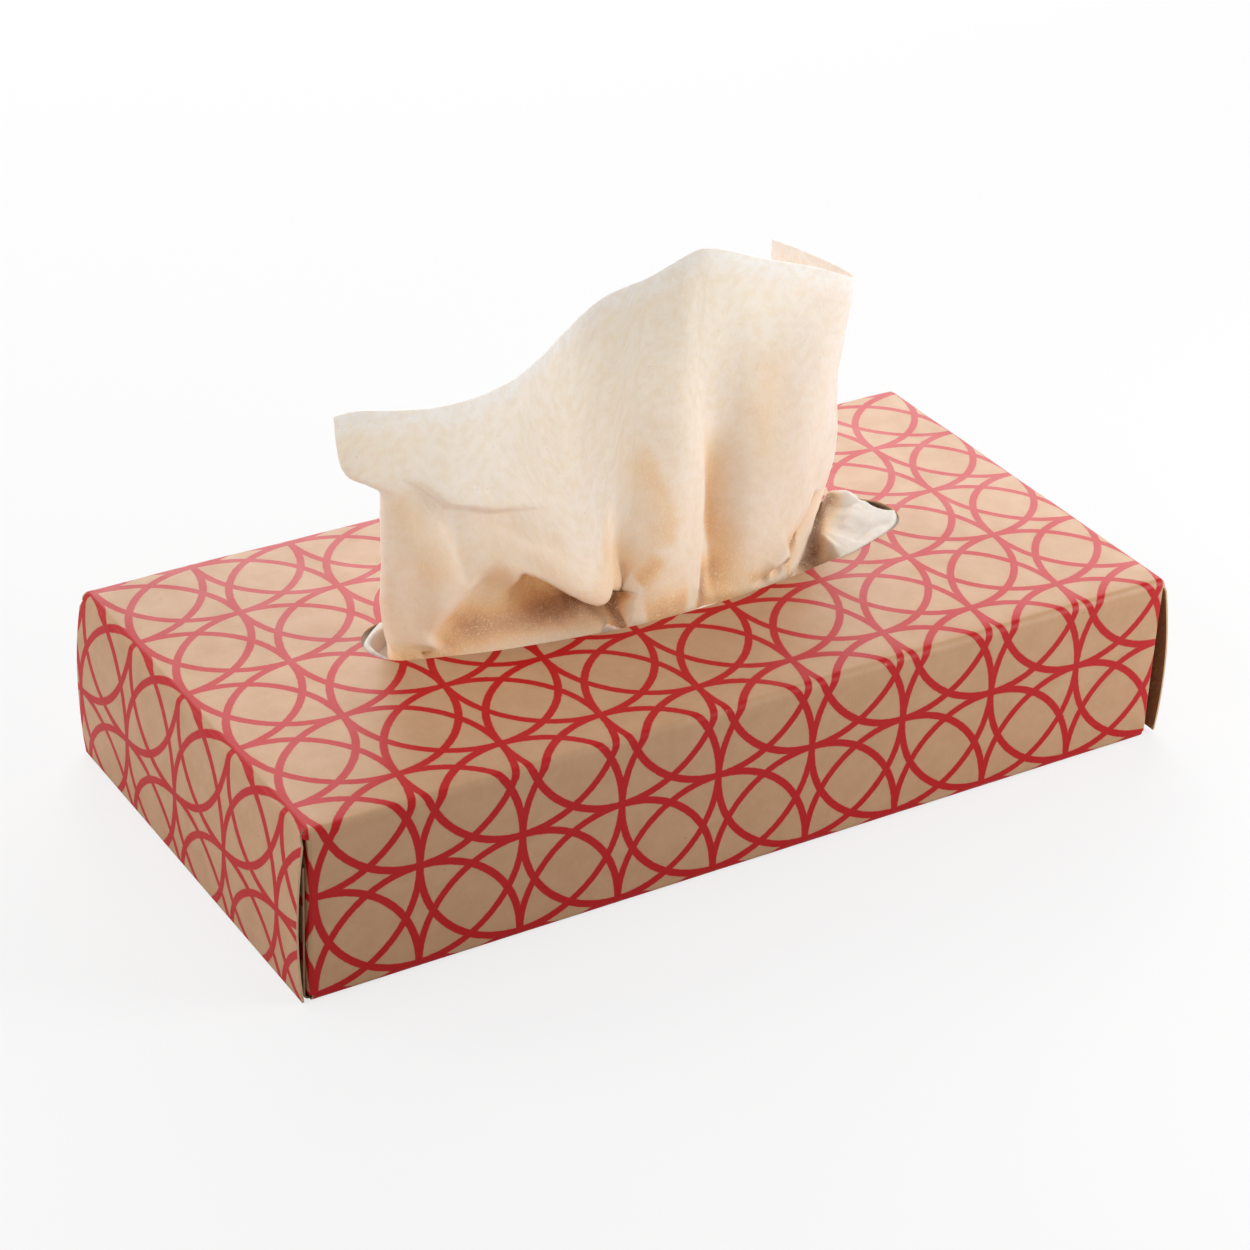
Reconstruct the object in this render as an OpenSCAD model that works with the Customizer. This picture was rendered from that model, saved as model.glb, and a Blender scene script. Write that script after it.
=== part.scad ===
// A flat tissue box: a folded carton, its stack of interfolded tissues and the tissue pulled up
// through the oval opening. The origin is on the table, under the middle of the box; the long
// front panel faces -Y and +Z is up.

/* [Carton] */
// Length of the carton between its two end folds
box_l = 230; // [200:1:260]
// Depth of the carton from the front panel to the back panel
box_w = 114; // [100:1:130]
// Height of the carton
box_h = 44; // [36:1:60]
// Thickness of the board
board = 0.45; // [0.35:0.05:0.7]
// Outer radius of the folds
fold_r = 2; // [1.2:0.1:2.6]

/* [Flaps] */
// How far the left outer flap bows out at half height
left_bow = 1.5; // [1:0.5:4]
// How far the right outer flap bows out at half height
right_bow = 2.5; // [1:0.5:4]
// How much the outer end flaps stop short of the front and back panels
flap_inset = 0.7; // [0.3:0.1:1.5]
// Air between two flaps that lie on each other
flap_gap = 0.15; // [0.1:0.05:0.3]
// Length of the dust flaps, folded in from the front and back panels
dust_l = 46; // [30:1:48]
// Taper of the dust flaps' edges towards their tips
dust_taper = 4; // [1:0.5:8]
// Height of the inner end flaps, folded up from the bottom
inner_h = 34; // [15:1:35]
// Width of the glue flap inside the back panel
glue_w = 14; // [8:1:20]

/* [Opening] */
// Length of the oval opening
slot_l = 145; // [120:1:160]
// Width of the oval opening
slot_w = 38.4; // [34:0.2:48]
// Radius of the opening's two ends
slot_end_r = 9; // [6:0.5:12]
// Offset of the opening towards the right end
slot_shift = 2; // [-4:0.5:4]

/* [Tissues] */
// Thickness of a two-ply tissue, as a solid
sheet_t = 0.35; // [0.3:0.05:0.5]
// Height of the pulled tissue above the top panel
pull_h = 87; // [60:1:100]
// How far the next tissue comes up over the panel's underside at the opening's right end
next_peak = 2.9; // [0:0.1:3.5]
// Space over the stack, under the top panel
stack_room = 2.1; // [2:0.1:6]
// Space between the stack and the carton's four sides
stack_clear = 3; // [1:0.5:8]
// Folded layers that show at the stack's long sides
stack_folds = 16; // [8:1:24]

/* [Hidden] */

kraft = [0.80, 0.68, 0.53];
unbleached = [0.93, 0.86, 0.77];
$fn = 48;

// layers of board at each end, from outside: outer flap, inner flap, dust flaps
inner_d = board + flap_gap;
dust_d = 2 * (board + flap_gap);

// the opening's long sides are arcs tangent to its ends
slot_a = slot_l / 2 - slot_end_r;
slot_side_r = (pow(slot_a, 2) + pow(slot_w / 2, 2) - pow(slot_end_r, 2)) / (slot_w - 2 * slot_end_r);

stack_top = box_h - board - stack_room;
stack_l = box_l - 2 * (dust_d + board + stack_clear);
stack_w = box_w - 2 * (2 * board + stack_clear);
layer_h = (stack_top - board) / stack_folds;

// Soft sheets

// weights of the four points that shape a smooth line at place t between the middle two
function weights(t) = [
    pow(1 - t, 3) / 6,
    (3 * pow(t, 3) - 6 * pow(t, 2) + 4) / 6,
    (3 * t + 3 * pow(t, 2) - 3 * pow(t, 3) + 1) / 6,
    pow(t, 3) / 6
];

// one more point at each end, so that the line reaches its first and last point
function with_ends(p) = concat([2 * p[0] - p[1]], p, [2 * p[len(p) - 1] - p[len(p) - 2]]);

// the point at share s of the way along a smooth line
function on_line(p, s) =
    let (spans = len(p) - 3, a = min(floor(s * spans), spans - 1), w = weights(s * spans - a))
    w[0] * p[a] + w[1] * p[a + 1] + w[2] * p[a + 2] + w[3] * p[a + 3];

// a grid of points on the smooth surface through lines that all have as many points
function loft(lines, across, up) =
    [for (i = [0:across])
        let (line = [for (k = [0:len(lines[0]) - 1]) on_line(with_ends([for (l = lines) l[k]]), i / across)],
            ends = with_ends(line))
        [for (j = [0:up]) on_line(ends, j / up)]];

function unit(v) = v / norm(v);

// the direction square to the grid at one of its points
function grid_normal(g, i, j) =
    let (m = len(g) - 1, n = len(g[0]) - 1)
    unit(cross(g[min(i + 1, m)][j] - g[max(i - 1, 0)][j], g[i][min(j + 1, n)] - g[i][max(j - 1, 0)]));

// a closed sheet of even thickness round a grid of points
module sheet(g, thickness) {
    m = len(g);
    n = len(g[0]);
    front = [for (i = [0:m - 1], j = [0:n - 1]) g[i][j] + grid_normal(g, i, j) * thickness / 2];
    back = [for (i = [0:m - 1], j = [0:n - 1]) g[i][j] - grid_normal(g, i, j) * thickness / 2];
    b = m * n;
    edge = concat([for (i = [0:m - 1]) i * n],
        [for (j = [1:n - 1]) (m - 1) * n + j],
        [for (i = [m - 2:-1:0]) i * n + n - 1],
        [for (j = [n - 2:-1:1]) j]);
    skin = [for (i = [0:m - 2], j = [0:n - 2])
        let (p = i * n + j, q = p + n)
        each [[p, q + 1, q], [p, p + 1, q + 1], [b + p, b + q, b + q + 1], [b + p, b + q + 1, b + p + 1]]];
    rim = [for (k = [0:len(edge) - 1])
        let (p = edge[k], q = edge[(k + 1) % len(edge)])
        each [[p, q, b + q], [p, b + q, b + p]]];
    polyhedron(points = concat(front, back), faces = concat(skin, rim), convexity = 8);
}

// Carton

// a quarter of a ring of board round a fold, from angle a0 to a1
module fold_ring(r, a0, a1) {
    difference() {
        circle(r);
        circle(r - board);
        for (side = [[a0, -1], [a1, 1]]) {
            rotate(side[0]) translate([-2 * r, side[1] < 0 ? -2 * r : 0]) square([4 * r, 2 * r]);
        }
    }
}

// section of the long tube of panels: front, bottom, glue flap, back and top
module tube_section() {
    y = box_w / 2;
    translate([-y, fold_r]) square([board, box_h - 2 * fold_r]);
    translate([-y + fold_r, fold_r]) fold_ring(fold_r, 180, 270);
    translate([-y + fold_r, 0]) square([box_w - 2 * fold_r - board, board]);
    translate([y - board - fold_r, fold_r]) fold_ring(fold_r, 270, 360);
    translate([y - 2 * board, fold_r]) square([board, glue_w - fold_r]);
    translate([y - board, flap_gap]) square([board, box_h - fold_r - flap_gap]);
    top_section();
}

// section of the top panel with its two long folds
module top_section() {
    y = box_w / 2;
    translate([-y + fold_r, box_h - fold_r]) fold_ring(fold_r, 90, 180);
    translate([-y + fold_r, box_h - board]) square([box_w - 2 * fold_r, board]);
    translate([y - fold_r, box_h - fold_r]) fold_ring(fold_r, 0, 90);
}

// extrudes a section in Y and Z over a length in X, both ways from the middle
module along_x(length) {
    rotate([90, 0, 90]) translate([0, 0, -length / 2]) linear_extrude(length) children();
}

// outline of the oval opening
module slot_outline() {
    intersection() {
        translate([0, slot_w / 2 - slot_side_r]) circle(slot_side_r, $fn = 360);
        translate([0, slot_side_r - slot_w / 2]) circle(slot_side_r, $fn = 360);
        reach = slot_a + slot_end_r * slot_a / (slot_side_r - slot_end_r);
        translate([-reach, -slot_w / 2]) square([2 * reach, slot_w]);
    }
    for (side = [-1, 1]) translate([side * slot_a, 0]) circle(slot_end_r);
}

// section of an outer end flap in X and Z: a strip that turns down at the top fold, then bows out in an
// arc that leaves the fold without a kink
module outer_flap_section(bow) {
    chord = box_h - fold_r;
    r = (pow(chord / 2, 2) + pow(bow, 2)) / (2 * bow);
    lean = asin((chord / 2) / r);
    centre = [fold_r + (r - fold_r) * cos(lean), box_h - fold_r - (r - fold_r) * sin(lean)];
    low = asin((centre[1] - flap_gap) / r);
    fold_steps = 6;
    flap_steps = 20;
    turns = concat(
        [for (k = [0:fold_steps]) [[fold_r, box_h - fold_r], fold_r, 90 + (90 - lean) * k / fold_steps]],
        [for (k = [1:flap_steps]) [centre, r, 180 - lean + (lean + low) * k / flap_steps]]
    );
    function along(t, inset) = t[0] + (t[1] - inset) * [cos(t[2]), sin(t[2])];
    polygon(concat(
        [for (t = turns) along(t, 0)],
        [for (k = [len(turns) - 1:-1:0]) along(turns[k], board)]
    ));
}

// the flaps of the left end
module end_flaps(bow) {
    // outer flap, from the top fold down to the table
    translate([-box_l / 2, box_w / 2 - flap_inset, 0]) rotate([90, 0, 0])
        linear_extrude(box_w - 2 * flap_inset) outer_flap_section(bow);
    // inner flap, folded up from the bottom
    translate([0, box_w / 2 - 2 * flap_inset - board, 0]) rotate([90, 0, 0])
        linear_extrude(box_w - 4 * flap_inset - 2 * board) {
            translate([-box_l / 2 + inner_d + fold_r, fold_r]) fold_ring(fold_r, 180, 270);
            translate([-box_l / 2 + inner_d, fold_r]) square([board, inner_h - fold_r]);
        }
    // dust flaps, folded in from the front and the back
    for (side = [0, 1]) mirror([0, side, 0]) dust_flap();
}

// one dust flap: its fold at the front panel, and a tapered tongue
module dust_flap() {
    x = -box_l / 2 + dust_d;
    y = -box_w / 2;
    low = fold_r;
    high = box_h - fold_r;
    translate([0, 0, low]) linear_extrude(high - low)
        translate([x + fold_r, y + fold_r]) fold_ring(fold_r, 180, 270);
    translate([x, 0, 0]) rotate([90, 0, 90]) linear_extrude(board) polygon([
        [y + fold_r, low],
        [y + dust_l, low + dust_taper],
        [y + dust_l, high - dust_taper],
        [y + fold_r, high]
    ]);
}

module carton() {
    color(kraft) difference() {
        union() {
            along_x(box_l - 2 * (dust_d + fold_r)) tube_section();
            along_x(box_l - 2 * fold_r) top_section();
            along_x(box_l - 2 * (inner_d + fold_r)) bottom_section();
            end_flaps(left_bow);
            mirror([1, 0, 0]) end_flaps(right_bow);
        }
        translate([slot_shift, 0, box_h - 2 * board]) linear_extrude(3 * board) slot_outline();
    }
}

// section of the bottom panel with its two long folds
module bottom_section() {
    y = box_w / 2;
    translate([-y + fold_r, fold_r]) fold_ring(fold_r, 180, 270);
    translate([-y + fold_r, 0]) square([box_w - 2 * fold_r - board, board]);
    translate([y - board - fold_r, fold_r]) fold_ring(fold_r, 270, 360);
}

// Stack

// the clip of interfolded tissues, with the folds rounded along both long sides
module tissue_stack() {
    color(unbleached) translate([0, 0, board]) along_x(stack_l) {
        translate([-(stack_w - layer_h) / 2, 0]) square([stack_w - layer_h, stack_top - board]);
        for (k = [0:stack_folds - 1], side = [-1, 1]) {
            translate([side * (stack_w - layer_h) / 2, (k + 0.5) * layer_h]) circle(layer_h / 2, $fn = 16);
        }
    }
}

// Tissues in the opening

// the slot's half length and half width, and the height of the pull, that the lines are drawn for
drawn = [72.5, 19.2, 87];
// air between a tissue and what lies under it
tissue_gap = 0.3;

// Lines that run up the pulled tissue, from its free edge behind on the right, round the front, to
// its free edge on the left. Each holds its points over the opening, in the sizes that drawn gives:
// at the opening's rim, under the drape, at the drape's edge, at the waist, at the chest, at the
// shoulder and at the hem.
pulled_lines = [
    [[44, 8, 2.5], [44, 9, 8], [43, 10, 16], [42, 11, 28], [42, 12, 40], [41, 13, 54], [41, 14, 74]],
    [[57, 7, 2], [58, 8, 6], [62, 9, 15], [59, 9, 24], [51, 8, 40], [50, 8, 52], [49, 9, 71]],
    [[37, -10, 2], [39, -9, 6], [48, -3, 15], [57, 4, 28], [56, 3, 40], [56, 3, 50], [58, 3, 66]],
    [[34, -13, 2], [35, -12, 5], [42, -7, 14], [50, -3, 28], [52, -1, 40], [53, -1, 50], [55, -1, 67]],
    [[30, -15, 2], [31, -14, 5], [35, -10, 14], [39, -6, 28], [40, -5, 40], [41, -4, 50], [42, -3, 74]],
    [[24, -16, 2], [23, -15, 5], [24, -11, 14], [25, -8, 28], [26, -7, 40], [26, -6, 52], [27, -4, 79]],
    [[13, -15, 2], [14, -13, 5], [18, -7, 14], [20, -3, 28], [20, -3, 40], [19, -4, 52], [16, -5, 84]],
    [[8, -5, 2], [11, -4, 6], [14, -2, 13], [16, 0, 28], [14, -2, 40], [12, -4, 52], [10, -5, 86]],
    [[3, -17, 2], [4, -16, 6], [5, -13, 14], [7, -9, 28], [7, -8, 40], [7, -5, 53], [7, -4, 85]],
    [[-6, -18, 2], [-5, -17, 6], [-3, -12, 14], [-1, -8, 28], [0, -6, 40], [0, -4, 53], [2, -1, 81]],
    [[-14, -17, 2], [-11, -12, 6], [-8, -7, 14], [-7, -3, 28], [-6, -1, 40], [-5, 0, 52], [0, 4, 76]],
    [[-15, -8, 2], [-13, -4, 5], [-12, -2, 13], [-13, 1, 28], [-12, 3, 40], [-10, 5, 51], [-5, 9, 73]],
    [[-21, -17, 1.8], [-17, -5, 2.5], [-16, -20, 4.5], [-18, -6, 22], [-19, -1, 38], [-19, 2, 50], [-12, 9, 70]],
    [[-32, -15, 1.8], [-29, -3, 3], [-31, -17, 15], [-29, -7, 27], [-29, -4, 37], [-30, -1, 47], [-21, 6, 65]],
    [[-44, -12, 1.8], [-42, -4, 5], [-40, -11, 20], [-40, -7, 31], [-40, -5, 39], [-41, -3, 46], [-33, 2, 60]],
    [[-57, -9, 1.8], [-55, -6, 4], [-54, -9, 10], [-52, -6, 31], [-52, -6, 40], [-52, -5, 47], [-49, -2, 59]],
    [[-65, -5, 1.8], [-64, -3, 4], [-64, -5, 9], [-63, -4, 34], [-64, -5, 42], [-67, -5, 47], [-66, -4, 62]],
    [[-69, 1, 1.8], [-70, 1, 6], [-70, 1, 14], [-70, 0, 37], [-71, -3, 43], [-77, -4, 46], [-76, -4, 65]],
    [[-63, 6, 1.8], [-64, 6, 6], [-64, 5, 16], [-67, 3, 37], [-68, 1, 44], [-81, -3, 47], [-82, -3, 64]]
];

// a drawn point in its place over the opening
function placed(p) = [
    slot_shift + p[0] * slot_l / 2 / drawn[0],
    p[1] * slot_w / 2 / drawn[1],
    box_h + p[2] * pull_h / drawn[2]
];

// where a line of the pulled tissue comes up from the stack, straight below its place in the rim
tuck_z = stack_top + 2.5 * tissue_gap + 1.5 * sheet_t;
function tucked(p) = let (q = placed(p)) [q[0], q[1], tuck_z];

module pulled_tissue() {
    lines = [for (l = pulled_lines) concat([tucked(l[0])], [for (p = l) placed(p)])];
    color(unbleached) sheet(loft(lines, 64, 20), sheet_t);
}

// how high the next tissue's middle lies at a place in the opening: on the stack, but drawn up beside
// the pulled tissue's foot on the right, there as high as the top panel lets it and over the rim inside
function next_height(x, y) =
    let (a = x / (slot_l / 2), b = y / (slot_w / 2),
        inside = max(0, min(1, (0.8 - a * a - b * b) / 0.25)),
        drawn_up = max(0, min(1, (a - 0.7 - 0.31 * b) / 0.08)),
        rest = stack_top + tissue_gap + sheet_t / 2,
        under_top = box_h - board - tissue_gap - sheet_t / 2)
    rest + drawn_up * (under_top - rest + next_peak * inside);

module next_tissue() {
    across = 56;
    up = 11;
    grid = [for (i = [0:across])
        let (x = (i / across - 0.5) * (slot_l + 16))
        [for (j = [0:up])
            let (y = (j / up - 0.5) * (slot_w + 10))
            [slot_shift + x, y, next_height(x, y)]]];
    color(unbleached) sheet(grid, sheet_t);
}

carton();
tissue_stack();
next_tissue();
pulled_tissue();
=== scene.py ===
import math

import bmesh
import bpy
import numpy as np
from mathutils import Matrix, Vector, noise


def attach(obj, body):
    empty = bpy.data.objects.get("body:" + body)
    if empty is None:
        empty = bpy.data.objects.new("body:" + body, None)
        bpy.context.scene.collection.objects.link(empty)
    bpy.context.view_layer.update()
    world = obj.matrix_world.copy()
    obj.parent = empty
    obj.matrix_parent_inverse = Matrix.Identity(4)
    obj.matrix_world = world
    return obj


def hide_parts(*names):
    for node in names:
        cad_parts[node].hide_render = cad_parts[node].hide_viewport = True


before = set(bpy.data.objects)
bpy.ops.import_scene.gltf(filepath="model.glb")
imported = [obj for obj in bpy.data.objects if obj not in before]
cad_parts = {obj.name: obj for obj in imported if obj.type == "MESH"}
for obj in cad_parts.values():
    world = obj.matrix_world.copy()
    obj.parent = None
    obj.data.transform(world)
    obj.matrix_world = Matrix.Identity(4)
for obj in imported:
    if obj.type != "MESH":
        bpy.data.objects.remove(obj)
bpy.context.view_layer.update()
mm = 0.001
scene = bpy.context.scene


# small helpers for working as by hand

def activate(piece):
    if bpy.context.object and bpy.context.object.mode != "OBJECT":
        bpy.ops.object.mode_set(mode="OBJECT")
    bpy.ops.object.select_all(action="DESELECT")
    piece.select_set(True)
    bpy.context.view_layer.objects.active = piece


def startEdit(piece):
    activate(piece)
    bpy.ops.object.mode_set(mode="EDIT")


def stopEdit():
    bpy.ops.object.mode_set(mode="OBJECT")


# open edges whose middle passes the test, in millimetres
def pickRim(piece, test):
    bm = bmesh.from_edit_mesh(piece.data)
    bpy.ops.mesh.select_mode(type="EDGE")
    bpy.ops.mesh.select_all(action="DESELECT")
    for edge in bm.edges:
        middle = (edge.verts[0].co + edge.verts[1].co) / 2 / mm
        if edge.is_boundary and test(middle.x, middle.y, middle.z):
            edge.select_set(True)
    bmesh.update_edit_mesh(piece.data)


def pickPoints(piece, test):
    bm = bmesh.from_edit_mesh(piece.data)
    bpy.ops.mesh.select_mode(type="VERT")
    bpy.ops.mesh.select_all(action="DESELECT")
    for point in bm.verts:
        if test(*(point.co / mm)):
            point.select_set(True)
    bm.select_flush(True)
    bmesh.update_edit_mesh(piece.data)


# spins what is picked; the tool counts its angle the other way round
def turn(center, axis, degrees, steps):
    bpy.ops.mesh.spin(steps=steps, angle=-math.radians(degrees), center=Vector(center) * mm, axis=axis)


def carry(offset, steps=1):
    for step in range(steps):
        bpy.ops.mesh.extrude_edges_move(
            TRANSFORM_OT_translate={"value": tuple(Vector(offset) * mm / steps)})


def useModifier(piece, kind, **settings):
    activate(piece)
    modifier = piece.modifiers.new(kind.title(), kind)
    for name, value in settings.items():
        setattr(modifier, name, value)
    bpy.ops.object.modifier_apply(modifier=modifier.name)


def settle(piece, slot, *nodes):
    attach(piece, "root")
    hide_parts(*nodes)


# shader helpers

# fills a node's inputs, each with a value or with a link from another node
def feed(tree, node, inputs):
    for key, value in inputs.items():
        if isinstance(value, bpy.types.NodeSocket):
            tree.links.new(value, node.inputs[key])
        else:
            node.inputs[key].default_value = value


def addNode(tree, kind, inputs=None, **settings):
    node = tree.nodes.new(kind)
    for name, value in settings.items():
        setattr(node, name, value)
    feed(tree, node, inputs or {})
    return node


def calc(tree, operation, a, b=0.0, clamp=False):
    return addNode(tree, "ShaderNodeMath", {0: a, 1: b}, operation=operation, use_clamp=clamp).outputs[0]


def between(tree, value, low, high, outLow=0.0, outHigh=1.0):
    return addNode(tree, "ShaderNodeMapRange",
                   {"Value": value, "From Min": low, "From Max": high, "To Min": outLow, "To Max": outHigh},
                   interpolation_type="SMOOTHSTEP").outputs["Result"]


def blendColor(tree, factor, a, b):
    node = addNode(tree, "ShaderNodeMix", {"Factor": factor}, data_type="RGBA")
    feed(tree, node, {6: a, 7: b})      # the two colours among its inputs
    return node.outputs[2]


# a colour as seen on the screen, 0 to 255, as the shader's linear one
def rgb(red, green, blue):
    linear = [c / 255 / 12.92 if c <= 10 else ((c / 255 + 0.055) / 1.055) ** 2.4 for c in (red, green, blue)]
    return (*linear, 1.0)


def startGroup(name, inputs, outputs):
    tree = bpy.data.node_groups.new(name, "ShaderNodeTree")
    for label, kind, value in inputs:
        socket = tree.interface.new_socket(label, in_out="INPUT", socket_type=kind)
        if value is not None:
            socket.default_value = value
    for label, kind in outputs:
        tree.interface.new_socket(label, in_out="OUTPUT", socket_type=kind)
    return tree, tree.nodes.new("NodeGroupInput").outputs, tree.nodes.new("NodeGroupOutput").inputs


def startMaterial(name, **constants):
    material = bpy.data.materials.new(name)
    material.use_nodes = True
    tree = material.node_tree
    shader = tree.nodes["Principled BSDF"]
    for label, value in constants.items():
        shader.inputs[label.replace("_", " ")].default_value = value
    return material, tree, shader


def useGroup(tree, group, inputs):
    return addNode(tree, "ShaderNodeGroup", inputs, node_tree=group).outputs


# overlapping circles, one round each point of a square lattice
def makeCirclePrint():
    tree, given, made = startGroup("circlePrint", [
        ("Place", "NodeSocketVector", None), ("Pitch", "NodeSocketFloat", 0.025),
        ("Line Width", "NodeSocketFloat", 0.002), ("Softness", "NodeSocketFloat", 0.0001)],
        [("Mask", "NodeSocketFloat")])
    wobble = addNode(tree, "ShaderNodeTexNoise", {"Vector": given["Place"], "Scale": 900.0, "Detail": 2.0})
    inPitches = addNode(tree, "ShaderNodeVectorMath", {0: given["Place"]}, operation="SCALE")
    tree.links.new(calc(tree, "DIVIDE", 1.0, given["Pitch"]), inPitches.inputs["Scale"])
    share = addNode(tree, "ShaderNodeVectorMath", {0: inPitches.outputs[0]}, operation="FRACTION")
    parts = addNode(tree, "ShaderNodeSeparateXYZ", {0: share.outputs[0]})
    quarter = [calc(tree, "MINIMUM", parts.outputs[k], calc(tree, "SUBTRACT", 1.0, parts.outputs[k]))
               for k in (0, 1)]
    quarterPlace = addNode(tree, "ShaderNodeCombineXYZ", {"X": quarter[0], "Y": quarter[1]})
    nearest = None
    for centre in ((0, 0), (1, 0), (0, 1), (1, 1), (-1, 0), (0, -1)):
        reach = addNode(tree, "ShaderNodeVectorMath", {0: quarterPlace.outputs[0], 1: (*centre, 0)},
                        operation="DISTANCE").outputs["Value"]
        miss = calc(tree, "ABSOLUTE", calc(tree, "SUBTRACT", reach, 1.0))
        nearest = miss if nearest is None else calc(tree, "MINIMUM", nearest, miss)
    away = calc(tree, "MULTIPLY", nearest, given["Pitch"])
    bleed = calc(tree, "MULTIPLY", calc(tree, "SUBTRACT", wobble.outputs["Fac"], 0.5), 0.00025)
    half = calc(tree, "MULTIPLY", given["Line Width"], 0.5)
    over = calc(tree, "SUBTRACT", calc(tree, "ADD", away, bleed), half)
    soft = calc(tree, "DIVIDE", over, given["Softness"])
    tree.links.new(calc(tree, "SUBTRACT", 0.5, soft, clamp=True), made["Mask"])
    return tree


# short fibres and flecks of a recycled board or tissue
def makeFibres():
    tree, given, made = startGroup("fibres", [
        ("Place", "NodeSocketVector", None), ("Size", "NodeSocketFloat", 0.001)],
        [("Clouds", "NodeSocketFloat"), ("Strands", "NodeSocketFloat"), ("Flecks", "NodeSocketFloat")])
    perSize = addNode(tree, "ShaderNodeVectorMath", {0: given["Place"]}, operation="SCALE")
    tree.links.new(calc(tree, "DIVIDE", 1.0, given["Size"]), perSize.inputs["Scale"])
    clouds = addNode(tree, "ShaderNodeTexNoise",
                     {"Vector": perSize.outputs[0], "Scale": 0.22, "Detail": 5.0, "Roughness": 0.62})
    tree.links.new(clouds.outputs["Fac"], made["Clouds"])
    strand = None
    for angle, seedShift in ((0.35, 0.0), (-0.9, 7.0), (1.7, 13.0)):
        mapping = addNode(tree, "ShaderNodeMapping", {
            "Vector": perSize.outputs[0], "Location": (seedShift, seedShift * 0.7, 0.0),
            "Rotation": (0.2, 0.1, angle), "Scale": (1.6, 0.5, 0.8)}, vector_type="TEXTURE")
        wisp = addNode(tree, "ShaderNodeTexNoise",
                       {"Vector": mapping.outputs[0], "Scale": 1.0, "Detail": 2.0, "Distortion": 0.6})
        ridge = between(tree, wisp.outputs["Fac"], 0.58, 0.74)
        strand = ridge if strand is None else calc(tree, "MAXIMUM", strand, ridge)
    tree.links.new(strand, made["Strands"])
    dots = addNode(tree, "ShaderNodeTexVoronoi", {"Vector": perSize.outputs[0], "Scale": 0.16})
    tree.links.new(between(tree, dots.outputs["Distance"], 0.045, 0.02), made["Flecks"])
    return tree


# pale scuffs where a fold or an edge has rubbed
def makeRubbed():
    tree, given, made = startGroup("rubbed", [
        ("Place", "NodeSocketVector", None), ("Amount", "NodeSocketFloat", 0.0)],
        [("Mask", "NodeSocketFloat")])
    patches = addNode(tree, "ShaderNodeTexNoise",
                      {"Vector": given["Place"], "Scale": 420.0, "Detail": 6.0, "Roughness": 0.7})
    lifted = calc(tree, "ADD", patches.outputs["Fac"], calc(tree, "MULTIPLY", given["Amount"], 0.32))
    tree.links.new(between(tree, lifted, 0.82, 0.96), made["Mask"])
    return tree


circlePrint = makeCirclePrint()
fibres = makeFibres()
rubbed = makeRubbed()
print("shader groups ready")


# camera, as fitted to the carton's corners and to the lattice of its print
view = {"lens": 99.84, "azimuth": -32.90, "elevation": 30.44, "roll": 2.72, "distance": 834.3,
        "sideways": -0.03, "upwards": -28.48}


def aimCamera(view):
    azimuth, elevation, roll = (math.radians(view[k]) for k in ("azimuth", "elevation", "roll"))
    back = Vector((math.sin(azimuth) * math.cos(elevation), -math.cos(azimuth) * math.cos(elevation),
                   math.sin(elevation)))
    level = Vector((math.cos(azimuth), math.sin(azimuth), 0.0))
    upright = back.cross(level)
    right = math.cos(roll) * level + math.sin(roll) * upright
    up = -math.sin(roll) * level + math.cos(roll) * upright
    eye = (back * view["distance"] - right * view["sideways"] - up * view["upwards"]) * mm
    data = bpy.data.cameras.new("camera")
    data.lens, data.sensor_width, data.clip_end = view["lens"], 36.0, 20.0
    camera = bpy.data.objects.new("camera", data)
    turnTo = Matrix((right, up, back)).transposed().to_4x4()
    camera.matrix_world = Matrix.Translation(eye) @ turnTo
    scene.collection.objects.link(camera)
    scene.camera = camera


aimCamera(view)

# plain studio: a white floor and room, a large soft light behind on the right, and soft fills
studio = {"worldLevel": 0.145, "worldGlossy": 0.5, "floorColor": (0.80, 0.80, 0.80, 1.0), "floorWhite": 0.75,
          "lamps": [
              # name, place, aimed at, size, power
              ("backLight", (0.75, 1.15, 0.60), (0.0, 0.0, 0.05), (1.2, 0.6), 13.2),
              ("rightFill", (0.42, -0.30, 0.25), (0.08, -0.05, 0.02), (0.3, 0.3), 1.9),
              ("leftFill", (-1.1, -0.05, 0.70), (0.0, 0.0, 0.03), (0.8, 0.8), 4.2),
              ("leftBack", (-0.9, 0.80, 0.70), (0.0, 0.0, 0.03), (0.8, 0.8), 5.6),
              ("overhead", (0.0, 0.10, 1.30), (0.0, 0.0, 0.03), (0.9, 0.9), 2.6),
              ("backTop", (0.10, 0.90, 1.00), (0.0, 0.0, 0.05), (1.0, 0.6), 3.0),
          ]}


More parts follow.
